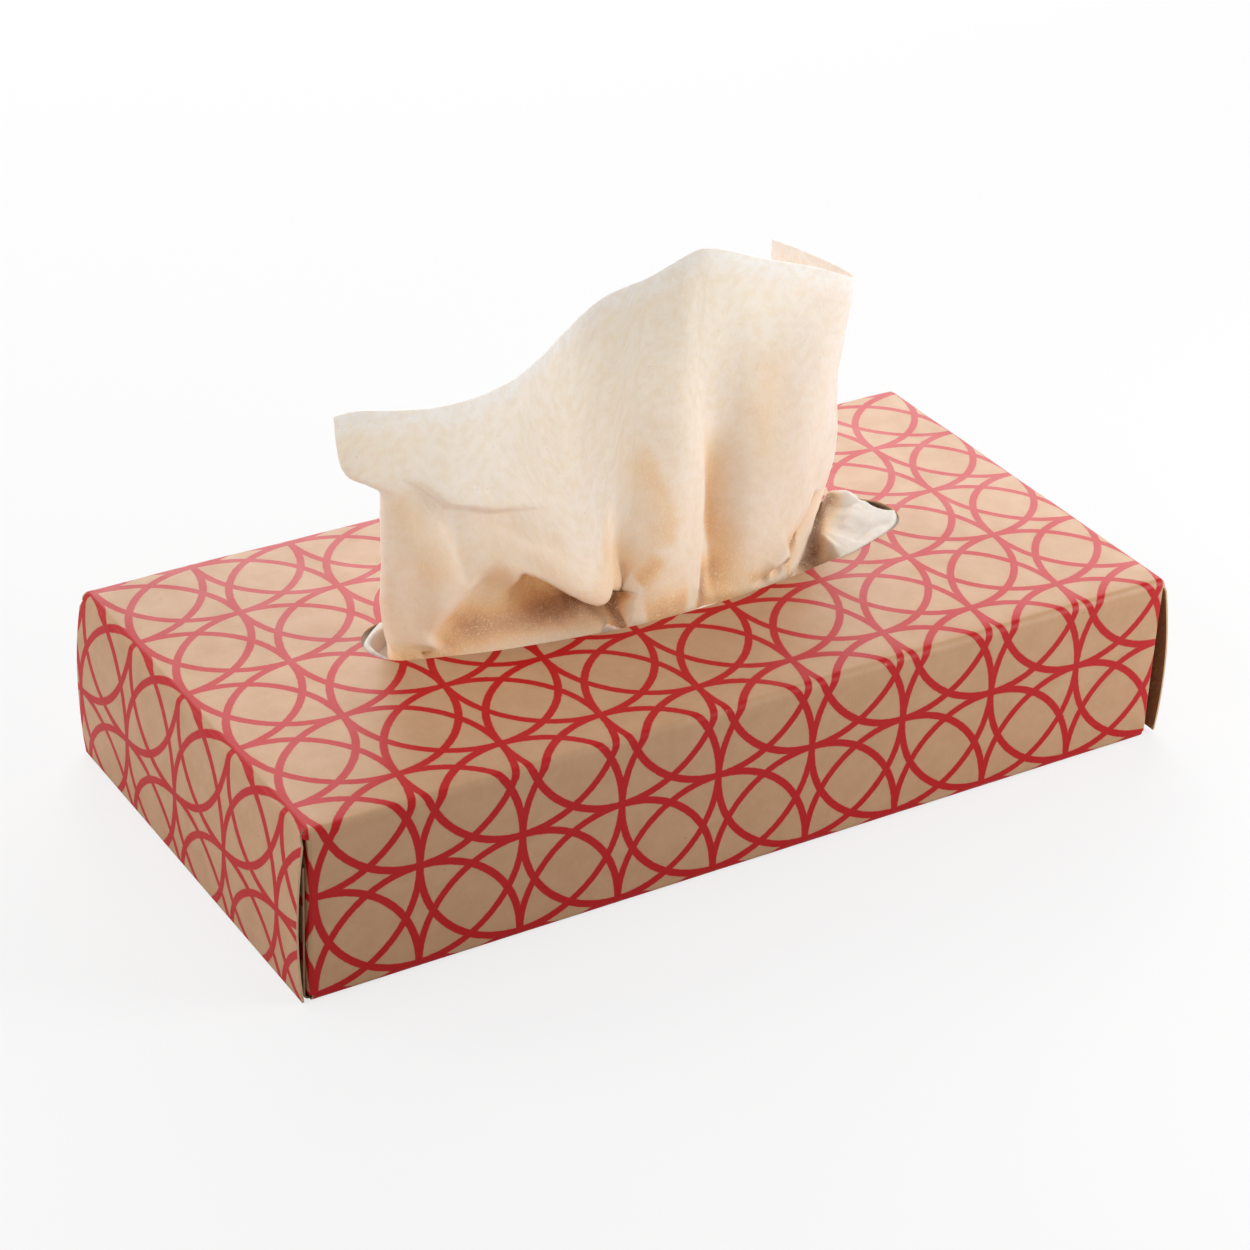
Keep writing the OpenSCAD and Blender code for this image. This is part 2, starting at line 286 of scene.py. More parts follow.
def buildStudio(studio):
    bpy.ops.mesh.primitive_plane_add(size=8.0)
    floor = bpy.context.object
    floor.name = "floor"
    material, tree, shader = startMaterial("floorPaper", Roughness=0.9)
    shader.inputs["Base Color"].default_value = studio["floorColor"]
    glow = addNode(tree, "ShaderNodeEmission", {"Color": (1, 1, 1, 1), "Strength": 1.0})
    path = addNode(tree, "ShaderNodeLightPath")
    seen = calc(tree, "MULTIPLY", path.outputs["Is Camera Ray"], studio["floorWhite"])
    mix = addNode(tree, "ShaderNodeMixShader", {0: seen, 1: shader.outputs[0], 2: glow.outputs[0]})
    tree.links.new(mix.outputs[0], tree.nodes["Material Output"].inputs["Surface"])
    floor.data.materials.append(material)
    world = bpy.data.worlds.new("studio")
    world.use_nodes = True
    tree = world.node_tree
    path = addNode(tree, "ShaderNodeLightPath")
    seen = calc(tree, "MAXIMUM", path.outputs["Is Camera Ray"], path.outputs["Is Transmission Ray"])
    strength = between(tree, path.outputs["Is Glossy Ray"], 0.0, 1.0,
                       studio["worldLevel"], studio["worldGlossy"])
    strength = addNode(tree, "ShaderNodeMix", {"Factor": seen, "A": strength, "B": 1.0}).outputs["Result"]
    tree.links.new(strength, tree.nodes["Background"].inputs["Strength"])
    tree.nodes["Background"].inputs["Color"].default_value = (1, 1, 1, 1)
    scene.world = world
    for name, place, target, size, power in studio["lamps"]:
        data = bpy.data.lights.new(name, "AREA")
        data.shape, data.size, data.size_y, data.energy = "RECTANGLE", size[0], size[1], power
        lamp = bpy.data.objects.new(name, data)
        lamp.location = place
        lamp.rotation_euler = (Vector(target) - Vector(place)).to_track_quat("-Z", "Y").to_euler()
        scene.collection.objects.link(lamp)
    scene.view_settings.view_transform = "Standard"


buildStudio(studio)
print("camera and studio ready")


# the carton, folded up from one blank; sizes in millimetres
carton = {
    "length": 230.0, "width": 114.0, "height": 44.0, "board": 0.45, "foldRadius": 2.0,
    "dustRadius": 0.6, "innerRadius": 1.17,     # of the dust flaps' and the inner flaps' folds
    "dustLength": 42, "innerHeight": 32.6, "glueWidth": 12,
    "gap": 0.1,                 # air between the bottom panel's fold and the back panel
    "backLift": 0.2,            # air under the back panel's lower edge
    "flapInset": 0.7,           # how much the outer flaps stop short of the long panels
    "cornerTurn": 72,           # degrees that the corners close by, but for a slit
    "slotLength": 145.0, "slotWidth": 38.4, "slotEndRadius": 9.0, "slotShift": 2.0,
    "crown": 2.1,               # how far the top panel is pushed up by what is inside
    "leftFlap": {"radius": 152.5, "leanTop": 8.3, "leanBottom": 7.5},
    "rightFlap": {"radius": 113.1, "leanTop": 14.05, "leanBottom": 7.2},
    "waves": 0.55,              # unevenness of the board, greatest
    "pitch": 25.24, "lineWidth": 1.85, "printStart": (-112.7, -46.6),
    "frontLag": 25.99, "leftLag": 26.1,     # how far below its fold a panel takes up one pitch
    "boardColor": rgb(199, 158, 122), "inkColor": rgb(186, 8, 16), "lightInk": rgb(196, 12, 20),
    "insideColor": rgb(150, 108, 68), "edgeColor": rgb(214, 178, 138),
    "fleckColor": rgb(140, 96, 60), "strandColor": rgb(216, 186, 148),
}


# the oval is drawn with four turns of one point
def drawSlot(carton):
    r = carton["slotEndRadius"]
    a, b = carton["slotLength"] / 2 - r, carton["slotWidth"] / 2
    sideRadius = (a * a + b * b - r * r) / (2 * (b - r))
    low = sideRadius - b
    meet = math.degrees(math.atan2(low, a))
    shift = carton["slotShift"]
    height = carton["height"] - carton["board"] / 2
    bpy.ops.mesh.primitive_plane_add(size=mm)
    outline = bpy.context.object
    startEdit(outline)
    bpy.ops.mesh.select_all(action="SELECT")
    bpy.ops.mesh.merge(type="CENTER")
    start = (a + r * math.cos(math.radians(meet)) + shift, -r * math.sin(math.radians(meet)), height)
    bpy.ops.transform.translate(value=Vector(start) * mm)
    bpy.ops.mesh.select_mode(type="VERT")
    turn((a + shift, 0, 0), (0, 0, 1), 2 * meet, 14)
    turn((shift, -low, 0), (0, 0, 1), 180 - 2 * meet, 76)
    turn((-a + shift, 0, 0), (0, 0, 1), 2 * meet, 14)
    turn((shift, low, 0), (0, 0, 1), 180 - 2 * meet, 76)
    bpy.ops.mesh.select_all(action="SELECT")
    bpy.ops.mesh.remove_doubles(threshold=0.02 * mm)
    stopEdit()
    return outline


def drawPanelEdge(halfLength, halfWidth, height):
    bpy.ops.mesh.primitive_plane_add(size=mm)
    edge = bpy.context.object
    startEdit(edge)
    bpy.ops.mesh.select_all(action="SELECT")
    bpy.ops.transform.resize(value=(2 * halfLength, 2 * halfWidth, 1))
    bpy.ops.transform.translate(value=(0, 0, height * mm))
    bpy.ops.mesh.delete(type="ONLY_FACE")
    for cuts, alongX in ((61, True), (27, False)):
        bm = bmesh.from_edit_mesh(edge.data)
        bpy.ops.mesh.select_mode(type="EDGE")
        bpy.ops.mesh.select_all(action="DESELECT")
        for line in bm.edges:
            run = line.verts[1].co - line.verts[0].co
            if (abs(run.x) > abs(run.y)) == alongX and run.length > 50 * mm:
                line.select_set(True)
        bmesh.update_edit_mesh(edge.data)
        bpy.ops.mesh.subdivide(number_cuts=cuts)
    stopEdit()
    return edge


# UV map: the blank laid flat again, in metres, from the top panel outwards
def layFlat(piece, startHeight):
    bm = bmesh.new()
    bm.from_mesh(piece.data)
    bm.faces.ensure_lookup_table()
    uv = bm.loops.layers.uv.new("blank")
    first = next(face for face in bm.faces
                 if face.normal.z > 0.99 and abs(face.calc_center_median().z - startHeight) < mm)
    for loop in first.loops:
        loop[uv].uv = loop.vert.co.xy
    done, queue = {first.index}, [first]
    while queue:
        face = queue.pop(0)
        for loop in face.loops:
            for nextLoop in loop.edge.link_loops:
                other = nextLoop.face
                if other.index in done:
                    continue
                done.add(other.index)
                queue.append(other)
                a, b = loop.vert, loop.link_loop_next.vert
                uvA, uvB = loop[uv].uv.copy(), loop.link_loop_next[uv].uv.copy()
                along = (b.co - a.co).normalized()
                across = other.normal.cross(along)
                alongUv = (uvB - uvA).normalized()
                acrossUv = Vector((-alongUv.y, alongUv.x))
                for corner in other.loops:
                    step = corner.vert.co - a.co
                    corner[uv].uv = uvA + alongUv * step.dot(along) + acrossUv * step.dot(across)
    bm.to_mesh(piece.data)
    bm.free()
    return len(done)


# the print lags a little where it turns down over the front and left folds
def slipPrint(piece, carton):
    pitch, (startX, startY) = carton["pitch"], carton["printStart"]

    def slip(value, start, span):
        if value > start:
            return value
        into = min(start - value, span)
        return start - into * pitch / span - max(0.0, start - value - span)

    for loop in piece.data.uv_layers["blank"].data:
        u, v = loop.uv / mm
        loop.uv = (slip(u, startX, carton["leftLag"]) * mm, slip(v, startY, carton["frontLag"]) * mm)


def addWeights(piece, name, weigh):
    group = piece.vertex_groups.new(name=name)
    for point in piece.data.vertices:
        weight = weigh(*(point.co / mm))
        if weight > 0:
            group.add([point.index], min(weight, 1.0), "REPLACE")


def buildCarton(carton, materials):
    halfL, halfW, high = carton["length"] / 2, carton["width"] / 2, carton["height"]
    r, board = carton["foldRadius"], carton["board"]
    flatX, flatY, middle = halfL - r, halfW - r, r - board / 2
    upright = carton["dustRadius"]
    topZ = high - board / 2

    outline = drawSlot(carton)
    piece = drawPanelEdge(flatX, flatY, topZ)
    activate(piece)
    outline.select_set(True)
    bpy.ops.object.join()
    piece.name = piece.data.name = "cartonBoard"
    startEdit(piece)
    bpy.ops.mesh.select_mode(type="EDGE")
    bpy.ops.mesh.select_all(action="SELECT")
    bpy.ops.mesh.bridge_edge_loops(number_cuts=15, interpolation="LINEAR")
    bpy.ops.mesh.select_all(action="SELECT")
    bpy.ops.mesh.normals_make_consistent(inside=False)
    stopEdit()
    if sum(face.normal.z for face in piece.data.polygons) < 0:
        piece.data.flip_normals()

    startEdit(piece)
    # front panel, bottom panel and glue flap
    pickRim(piece, lambda x, y, z: y < -flatY + 0.01)
    turn((0, -flatY, high - r), (1, 0, 0), 90, 6)
    pickRim(piece, lambda x, y, z: abs(z - high + r) < 0.01 and y < -flatY)
    carry((0, 0, -(high - 2 * r)), 14)
    turn((0, -flatY, r), (1, 0, 0), 90, 6)
    carry((0, 2 * flatY - board - carton["gap"], 0), 22)
    turn((0, flatY - board - carton["gap"], r), (1, 0, 0), 90, 6)
    carry((0, 0, carton["glueWidth"]), 3)
    # back panel
    pickRim(piece, lambda x, y, z: y > flatY - 0.01 and z > high - r)
    turn((0, flatY, high - r), (1, 0, 0), -90, 6)
    pickRim(piece, lambda x, y, z: abs(z - high + r) < 0.01 and y > flatY)
    carry((0, 0, -(high - r - carton["backLift"])), 14)
    # at each end: dust flaps, inner flap, outer flap
    for side, flap in ((-1, carton["leftFlap"]), (1, carton["rightFlap"])):
        for across in (-1, 1):
            wall = across * (halfW - board / 2)
            pickRim(piece, lambda x, y, z: abs(x - side * flatX) < 0.01 and r < z < high - r
                    and abs(y - wall) < 0.01)
            turn((side * flatX, wall - across * upright, 0), (0, 0, 1), -90 * side * across, 5)
            carry((0, -across * carton["dustLength"], 0), 6)
            # the corner between the two top folds
            pickRim(piece, lambda x, y, z: abs(x - side * flatX) < 0.01 and z > high - r
                    and across * y > flatY + 0.01)
            turn((side * flatX, across * flatY, 0), (0, 0, 1), -carton["cornerTurn"] * side * across, 4)
        pickRim(piece, lambda x, y, z: abs(x - side * flatX) < 0.01 and z < board and abs(y) < flatY - 2)
        turn((side * flatX, 0, board / 2 + carton["innerRadius"]), (0, 1, 0), -90 * side, 5)
        carry((0, 0, carton["innerHeight"]), 5)
        pickRim(piece, lambda x, y, z: abs(x - side * flatX) < 0.01 and z > high - 0.3 and abs(y) < flatY)
        turn((side * flatX, 0, high - r), (0, 1, 0), (90 - flap["leanTop"]) * side, 6)
        lean = math.radians(flap["leanTop"])
        inward = flap["radius"] - middle
        turn((side * (flatX - inward * math.cos(lean)), 0, high - r - inward * math.sin(lean)),
             (0, 1, 0), (flap["leanTop"] + flap["leanBottom"]) * side, 20)
        pickPoints(piece, lambda x, y, z: side * x > halfL - 0.5 and z < high - r - 0.5)
        wider = (halfW - carton["flapInset"]) / flatY
        bpy.ops.transform.resize(value=(1, wider, 1), center_override=(0, 0, 0))
    bpy.ops.mesh.select_all(action="SELECT")
    bpy.ops.mesh.remove_doubles(threshold=0.002 * mm)
    bpy.ops.mesh.normals_make_consistent(inside=False)
    stopEdit()
    if max(piece.data.polygons, key=lambda face: face.center.z).normal.z < 0:
        piece.data.flip_normals()
    laid = layFlat(piece, topZ * mm)
    print("carton: faces", len(piece.data.polygons), "of which laid flat", laid)
    slipPrint(piece, carton)

    def onTop(x, y, z):
        return max(0.0, (1 - (y / halfW) ** 2) * (1 - (x / halfL) ** 4)) if z > high - r else 0.0

    def onFold(x, y, z):
        nearTopFold = max(0, 1 - math.hypot(min(abs(y) - halfW, 0), z - high) / 3)
        nearEndFold = max(0, 1 - math.hypot(min(abs(x) - halfL, 0), z - high) / 3)
        return max(nearTopFold, nearEndFold)

    def outside(x, y, z):
        return 1.0 if z > 3 and (abs(y) > halfW - 1 or z > high - r or abs(x) > halfL - 0.2) else 0.0

    addWeights(piece, "crown", onTop)
    addWeights(piece, "outside", outside)
    useModifier(piece, "DISPLACE", vertex_group="crown", direction="Z", mid_level=0.0,
                strength=carton["crown"] * mm)
    clouds = bpy.data.textures.new("boardWaves", "CLOUDS")
    clouds.noise_scale, clouds.noise_depth = 0.035, 1
    useModifier(piece, "DISPLACE", vertex_group="outside", texture=clouds, texture_coords="LOCAL",
                strength=carton["waves"] * mm, mid_level=0.5)
    worn = piece.data.attributes.new("fold", "FLOAT", "POINT")
    worn.data.foreach_set("value", [onFold(*(p.co / mm)) for p in piece.data.vertices])
    for material in materials:
        piece.data.materials.append(material)
    useModifier(piece, "SOLIDIFY", thickness=board * mm, offset=0.0, use_even_offset=True,
                material_offset=1, material_offset_rim=2)
    bpy.ops.object.shade_smooth_by_angle(angle=math.radians(40))
    return piece


def finishBoard(carton):
    printed, tree, shader = startMaterial("printedBoard", Roughness=0.42, Specular_IOR_Level=0.275)
    place = addNode(tree, "ShaderNodeUVMap", uv_map="blank").outputs[0]
    startX, startY = carton["printStart"]
    shifted = addNode(tree, "ShaderNodeVectorMath", {0: place, 1: (-startX * mm, -startY * mm, 0)}).outputs[0]
    mask = useGroup(tree, circlePrint, {"Place": shifted, "Pitch": carton["pitch"] * mm,
                                        "Line Width": carton["lineWidth"] * mm, "Softness": 0.00022})["Mask"]
    fibre = useGroup(tree, fibres, {"Place": place, "Size": 0.0016})
    bare = blendColor(tree, between(tree, fibre["Clouds"], 0.3, 0.7), carton["boardColor"],
                      [c * k for c, k in zip(carton["boardColor"], (0.93, 0.9, 0.86, 1))])
    bare = blendColor(tree, calc(tree, "MULTIPLY", fibre["Strands"], 0.22), bare,
                      [min(1, c * k) for c, k in zip(carton["boardColor"], (1.12, 1.15, 1.2, 1))])
    bare = blendColor(tree, calc(tree, "MULTIPLY", fibre["Flecks"], 0.4), bare, carton["fleckColor"])
    ink = blendColor(tree, calc(tree, "MULTIPLY", fibre["Clouds"], 0.25), carton["inkColor"],
                     carton["lightInk"])
    printedColor = blendColor(tree, mask, bare, ink)
    wear = addNode(tree, "ShaderNodeAttribute", attribute_name="fold").outputs["Fac"]
    scuff = useGroup(tree, rubbed, {"Place": place, "Amount": wear})["Mask"]
    tree.links.new(blendColor(tree, calc(tree, "MULTIPLY", scuff, 0.7), printedColor, carton["edgeColor"]),
                   shader.inputs["Base Color"])
    tree.links.new(between(tree, fibre["Clouds"], 0.2, 0.8, 0.40, 0.48), shader.inputs["Roughness"])
    height = calc(tree, "ADD", calc(tree, "MULTIPLY", fibre["Strands"], 0.4), fibre["Clouds"])
    bump = addNode(tree, "ShaderNodeBump", {"Height": height, "Strength": 0.12, "Distance": 0.0002})
    tree.links.new(bump.outputs[0], shader.inputs["Normal"])

    made = [printed]
    for name, color in (("boardInside", carton["insideColor"]), ("boardEdge", carton["edgeColor"])):
        material, tree, shader = startMaterial(name, Roughness=0.85)
        place = addNode(tree, "ShaderNodeTexCoord").outputs["Object"]
        fibre = useGroup(tree, fibres, {"Place": place, "Size": 0.0012})
        tone = blendColor(tree, fibre["Clouds"], color, [c * 0.8 for c in color[:3]] + [1])
        tone = blendColor(tree, calc(tree, "MULTIPLY", fibre["Strands"], 0.3), tone, carton["strandColor"])
        tree.links.new(tone, shader.inputs["Base Color"])
        bump = addNode(tree, "ShaderNodeBump",
                       {"Height": fibre["Strands"], "Strength": 0.2, "Distance": 0.0002})
        tree.links.new(bump.outputs[0], shader.inputs["Normal"])
        made.append(material)
    return made


cartonPiece = buildCarton(carton, finishBoard(carton))
settle(cartonPiece, "board", "carton")
print("carton ready:", len(cartonPiece.data.polygons), "faces")


# the tissues; sizes in millimetres
# the tan is a painted deeper tone for doubled sheet that lets less light through and for shade, the brown is
# painted shade in the deepest hollows, and the pale is painted light through a single layer
tissue = {"thickness": 0.35, "color": rgb(255, 234, 221), "deep": rgb(238, 197, 159),
          "pale": rgb(252, 246, 242), "paintedShadeColor": rgb(165, 130, 105),
          "strandColor": rgb(250, 231, 196), "fleckColor": rgb(150, 110, 74)}


def finishTissue(tissue):
    material, tree, shader = startMaterial("tissuePaper", Roughness=0.9, Specular_IOR_Level=0.25,
                                           Subsurface_Weight=0.85, Subsurface_Scale=1.0 * mm,
                                           Subsurface_Radius=(1.1, 1.1, 1.05), Sheen_Weight=0.1,
                                           Sheen_Roughness=0.5)
    place = addNode(tree, "ShaderNodeUVMap", uv_map="sheet").outputs[0]
    fibre = useGroup(tree, fibres, {"Place": place, "Size": 0.0006})
    # the layers attribute is painted tone: over 0 tan and then brown, for painted shade and for doubled sheet
    # that lets less light through; under 0 pale, painted light through a single layer
    layers = addNode(tree, "ShaderNodeAttribute", attribute_name="layers").outputs["Fac"]
    paintedLight = calc(tree, "MAXIMUM", calc(tree, "MULTIPLY", layers, -1.0), 0.0)
    cloudy = calc(tree, "MULTIPLY", between(tree, fibre["Clouds"], 0.4, 0.64), 0.22)
    tone = blendColor(tree, calc(tree, "MAXIMUM", layers, 0.0, clamp=True), tissue["color"], tissue["deep"])
    tone = blendColor(tree, calc(tree, "SUBTRACT", layers, 1.0, clamp=True), tone, tissue["paintedShadeColor"])
    tone = blendColor(tree, paintedLight, tone, tissue["pale"])
    tone = blendColor(tree, cloudy, tone, tissue["deep"])
    tone = blendColor(tree, calc(tree, "MULTIPLY", fibre["Strands"], 0.7), tone, tissue["strandColor"])
    tone = blendColor(tree, calc(tree, "MULTIPLY", fibre["Flecks"], 0.5), tone, tissue["fleckColor"])
    tree.links.new(tone, shader.inputs["Base Color"])
    height = calc(tree, "ADD", calc(tree, "MULTIPLY", fibre["Strands"], 0.5), fibre["Clouds"])
    bump = addNode(tree, "ShaderNodeBump", {"Height": height, "Strength": 0.45, "Distance": 0.0003})
    tree.links.new(bump.outputs[0], shader.inputs["Normal"])
    return material


tissuePaper = finishTissue(tissue)

stack = {"length": 221.3, "width": 106.2, "base": 0.45, "top": 41.45, "layers": 41}


# one folded tissue, copied up into the clip
def buildStack(stack):
    step = (stack["top"] - stack["base"]) / stack["layers"]
    bpy.ops.mesh.primitive_cube_add(size=mm)
    piece = bpy.context.object
    piece.name = piece.data.name = "tissueClip"
    startEdit(piece)
    bpy.ops.mesh.select_all(action="SELECT")
    bpy.ops.transform.resize(value=(stack["length"] - 1, stack["width"] - 1, step * 0.96))
    bpy.ops.transform.translate(value=(0, 0, (stack["base"] + step / 2) * mm))
    stopEdit()
    useModifier(piece, "BEVEL", width=step * 0.45 * mm, segments=3)
    useModifier(piece, "ARRAY", count=stack["layers"], use_relative_offset=False, use_constant_offset=True,
                constant_offset_displace=(0, 0, step * mm))
    bpy.ops.object.shade_smooth_by_angle(angle=math.radians(50))
    flat = piece.data.uv_layers.new(name="sheet")
    for loop in piece.data.loops:
        co = piece.data.vertices[loop.vertex_index].co
        flat.data[loop.index].uv = (co.x, co.y + co.z)
    piece.data.attributes.new("layers", "FLOAT", "POINT")
    piece.data.materials.append(tissuePaper)
    settle(piece, "tissue", "tissue_stack")


buildStack(stack)
print("clip of tissues ready")


# points along the smooth line that the given ones shape, ends kept
def smoothLine(points, count):
    points = np.concatenate([[2 * points[0] - points[1]], points, [2 * points[-1] - points[-2]]])
    place = np.linspace(0, len(points) - 3, count)
    span = np.minimum(place.astype(int), len(points) - 4)
    t = (place - span).reshape([-1] + [1] * (points.ndim - 1))
    weights = ((1 - t) ** 3, 3 * t ** 3 - 6 * t ** 2 + 4, 3 * t + 3 * t ** 2 - 3 * t ** 3 + 1, t ** 3)
    return sum(w * points[span + k] for k, w in enumerate(weights)) / 6


def gridNormals(grid):
    across = np.gradient(grid, axis=0)
    up = np.gradient(grid, axis=1)
    normal = np.cross(across, up)
    return normal / np.maximum(np.linalg.norm(normal, axis=2, keepdims=True), 1e-9)


# distances along the sheet, across and up, in millimetres
def gridFlat(grid):
    acrossStep = np.linalg.norm(np.diff(grid, axis=0), axis=2)
    upStep = np.linalg.norm(np.diff(grid, axis=1), axis=2)
    across = np.concatenate([np.zeros((1, grid.shape[1])), np.cumsum(acrossStep, axis=0)])
    up = np.concatenate([np.zeros((grid.shape[0], 1)), np.cumsum(upStep, axis=1)], axis=1)
    middle = across[:, grid.shape[1] // 2]
    return np.stack([np.repeat(middle[:, None], grid.shape[1], 1), up], axis=2)


def sheetFromGrid(name, grid, layers, thickness):
    rows, columns = grid.shape[:2]
    flat = gridFlat(grid)
    corners = [(i * columns + j, (i + 1) * columns + j, (i + 1) * columns + j + 1, i * columns + j + 1)
               for i in range(rows - 1) for j in range(columns - 1)]
    mesh = bpy.data.meshes.new(name)
    mesh.from_pydata((grid.reshape(-1, 3) * mm).tolist(), [], corners)
    piece = bpy.data.objects.new(name, mesh)
    scene.collection.objects.link(piece)
    uv = mesh.uv_layers.new(name="sheet")
    index = np.zeros(len(mesh.loops), int)
    mesh.loops.foreach_get("vertex_index", index)
    uv.data.foreach_set("uv", (flat.reshape(-1, 2)[index] * mm).astype(np.float32).ravel())
    mesh.attributes.new("layers", "FLOAT", "POINT").data.foreach_set(
        "value", layers.astype(np.float32).ravel())
    useModifier(piece, "SOLIDIFY", thickness=thickness * mm, offset=0.0, use_even_offset=False)
    bpy.ops.object.shade_smooth_by_angle(angle=math.radians(60))
    mesh.materials.append(tissuePaper)
    return piece


def noiseGrid(flat, size, seed):
    return np.array([[noise.noise(Vector((s / size, t / size, seed))) for s, t in line] for line in flat])


def ease(value):
    value = np.clip(value, 0, 1)
    return value * value * (3 - 2 * value)


# how strongly a crease holds each place of the sheet: its width above and below, and its faded ends
def creaseShare(flat, path, above, below, fadeIn, fadeOut):
    best = np.full(flat.shape[:2], 1e9)
    share = np.zeros(flat.shape[:2])
    steps = [math.dist(a, b) for a, b in zip(path, path[1:])]
    gone = 0.0
    for start, end, length in zip(path, path[1:], steps):
        ahead = np.subtract(end, start) / length
        out = flat - np.array(start)
        along = (out @ ahead).clip(0, length)
        off = out - along[:, :, None] * ahead
        reach = np.hypot(off[:, :, 0], off[:, :, 1])
        isAbove = ahead[0] * off[:, :, 1] > ahead[1] * off[:, :, 0]
        value = np.exp(-(reach / np.where(isAbove, above, below)) ** 2)
        place = (gone + along) / sum(steps)
        value *= ease(place / max(fadeIn, 1e-6)) * ease((1 - place) / max(fadeOut, 1e-6))
        share = np.where(reach < best, value, share)
        best = np.minimum(best, reach)
        gone += length
    return share


# lines up the pulled tissue, from its free edge behind on the right, round the front, to its free
# edge on the left: at the rim, under the drape, the drape's edge, waist, chest, shoulder and hem
pulledLines = [
    [[44, 8, 2.5], [44, 9, 8], [43, 10, 16], [42, 11, 28], [42, 12, 40], [41, 13, 54], [41, 14, 74]],
    [[57, 7, 2], [60, 9, 6], [66, 11, 15], [62, 10, 23], [50, 8, 38], [50, 8, 52], [49, 9, 71]],
    [[37, -10, 2], [39, -9, 6], [48, -3, 15], [57, 4, 28], [56, 3, 40], [56, 3, 50], [58, 3, 66]],
    [[34, -13, 2], [35, -12, 5], [42, -7, 14], [50, -3, 28], [52, -1, 40], [53, -1, 50], [55, -1, 67]],
    [[30, -15, 2], [31, -14, 5], [35, -10, 14], [39, -6, 28], [40, -5, 40], [41, -4, 50], [42, -3, 74]],
    [[24, -16, 2], [23, -15, 5], [24, -11, 14], [25, -8, 28], [26, -7, 40], [26, -6, 52], [27, -4, 79]],
    [[13, -15, 2], [14, -13, 5], [18, -7, 14], [20, -3, 28], [20, -3, 40], [19, -4, 52], [16, -5, 84]],
    [[8, -13, 2], [10, -9, 6], [14, -3, 13], [16, 0, 28], [14, -2, 40], [12, -4, 52], [10, -5, 86]],
    [[3, -17, 2], [4, -16, 6], [5, -13, 14], [7, -9, 28], [7, -8, 40], [7, -5, 53], [7, -4, 85]],
    [[-6, -18, 2], [-5, -17, 6], [-3, -12, 14], [-1, -8, 28], [0, -6, 40], [0, -4, 53], [2.4, -0.4, 80.6]],
    [[-14, -17, 2], [-11, -12, 6], [-8, -8, 14], [-7, -5, 29], [-6.5, -3, 41], [-6, -1.5, 53],
     [-1.4, 1.8, 77.5]],
    [[-15, -8, 2], [-13, -4, 5], [-12, -4, 14], [-13, -4, 29], [-12.7, -1.8, 41], [-12, 0.6, 52],
     [-6.4, 6, 74.4]],
    [[-21, -17, 1.8], [-17, -5, 2.5], [-16, -20, 4.5], [-18, -6, 22], [-19, -1, 38], [-19, 2, 50],
     [-12, 9, 70]],
    [[-32, -15.6, 1.8], [-29, -3, 3], [-31, -17, 15], [-29, -7, 27], [-29, -4, 37], [-30, -1, 47],
     [-21, 6, 65]],
    [[-44, -14.1, 1.8], [-42, -4.5, 5], [-40, -11, 20], [-40, -7, 31], [-40, -5, 39], [-41, -3, 46],
     [-33, 2, 60]],
    [[-57, -11, 1.8], [-55, -8, 4], [-54, -9, 10], [-52, -6, 31], [-52, -6, 40], [-52, -5, 47],
     [-49, -2, 59]],
    [[-65, -8.3, 1.8], [-65, -5.5, 4], [-64, -5, 9], [-63, -4, 34], [-64, -5, 42], [-67, -5, 47],
     [-66, -4, 62]],
    [[-69, -2.5, 1.8], [-70, 0, 6], [-70, 1, 14], [-70, 0, 37], [-71, -3, 43], [-77, -4, 46],
     [-76, -4, 65]],
    [[-63, 6, 1.8], [-64, 6, 6], [-64, 5, 16], [-67, 3, 37], [-68, 1, 44], [-81, -3, 47], [-82, -3, 64]]
]
# creases that are shaped and shaded from more than one side, in the sheet's own flat coordinates
chestCrease = [(116, 41.5), (121, 40.2), (136, 37.7), (148, 39.8), (157, 50.4)]
drapeEdge = [(93.5, 4.6), (98, 7.8), (103, 11.4), (109, 14.4), (115, 17.4), (121, 20.2), (126, 22),
             (131.4, 23.5)]
hollowEdge = [(131, 24), (138.2, 16.2), (144.3, 9.8), (148.5, 4.6)]
lobeEdge = [(31, 22), (34, 15.2), (40, 9.9), (43.5, 8)]

